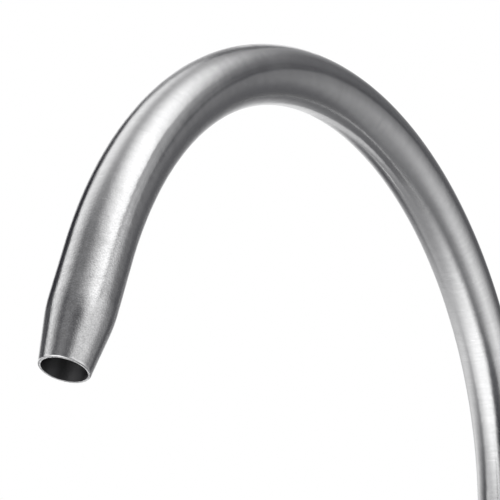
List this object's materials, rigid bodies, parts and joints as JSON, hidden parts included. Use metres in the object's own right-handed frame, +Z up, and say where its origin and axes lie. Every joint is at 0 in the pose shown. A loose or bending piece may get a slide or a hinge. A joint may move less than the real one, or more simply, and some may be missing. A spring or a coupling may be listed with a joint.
{
  "type": "water filter faucet",
  "caption": "Gooseneck drinking water faucet with a swivelling spout, a quarter-turn side lever, a deck shank with its nut and washers, and a push-fit inlet.",
  "frame": {"origin": "centre of the gasket's underside, on the deck, on the axis that the spout turns about", "axes": "+Z up along the riser, the spout reaches toward -Y, the lever's side boss points along +X"},
  "size_m": [0.0671, 0.1862, 0.3629],
  "materials": {
    "brushed_steel": "satin, brushed round the tube",
    "plated_steel": "plated",
    "brass": "machined",
    "black_rubber": "matte",
    "red_fibre": "matte pressed fibre",
    "slide_plastic": "waxy",
    "disc_ceramic": "lapped, white alumina",
    "white_plastic": "moulded",
    "grey_plastic": "moulded"
  },
  "bodies": {
    "base": {"lower_glide_ring": "slide_plastic", "upper_glide_ring": "slide_plastic", "spout_nut": "brushed_steel", "valve_body": "brushed_steel", "base_flange": "brushed_steel", "base_gasket": "black_rubber", "threaded_shank": "brass", "shank_gasket": "black_rubber", "deck_washer": "black_rubber", "clamp_washer": "plated_steel", "star_washer": "plated_steel", "mounting_nut": "brass", "cartridge_housing": "brass", "housing_washer": "red_fibre", "seat_seal": "black_rubber", "fixed_disc": "disc_ceramic", "bonnet": "brushed_steel", "connector_body": "white_plastic", "connector_seal": "black_rubber", "tube_o_ring": "black_rubber", "collet_cap": "grey_plastic"},
    "spout": {"spout_tube": "brushed_steel", "spout_foot": "brushed_steel", "spout_o_rings": "black_rubber"},
    "handle": {"handle_hub": "brushed_steel", "lever_rod": "brushed_steel", "hub_set_screw": "plated_steel", "valve_stem": "brass", "turning_disc": "disc_ceramic", "stem_o_ring": "black_rubber", "thrust_washer": "slide_plastic", "stem_clip": "plated_steel"},
    "collet": {"collet": "grey_plastic"}
  },
  "joints": [
    {"name": "spout_swivel", "type": "hinge", "parent": "base", "child": "spout", "pos_m": [0, 0, 0.052], "axis": [0, 0, 1], "continuous": true},
    {"name": "handle_turn", "type": "hinge", "parent": "base", "child": "handle", "pos_m": [0.03, 0, 0.0271], "axis": [1, 0, 0], "range_deg": [0, 90]},
    {"name": "collet_push", "type": "slide", "parent": "base", "child": "collet", "axis": [0, 0, 1], "range_m": [0, 0.0015]}
  ]
}
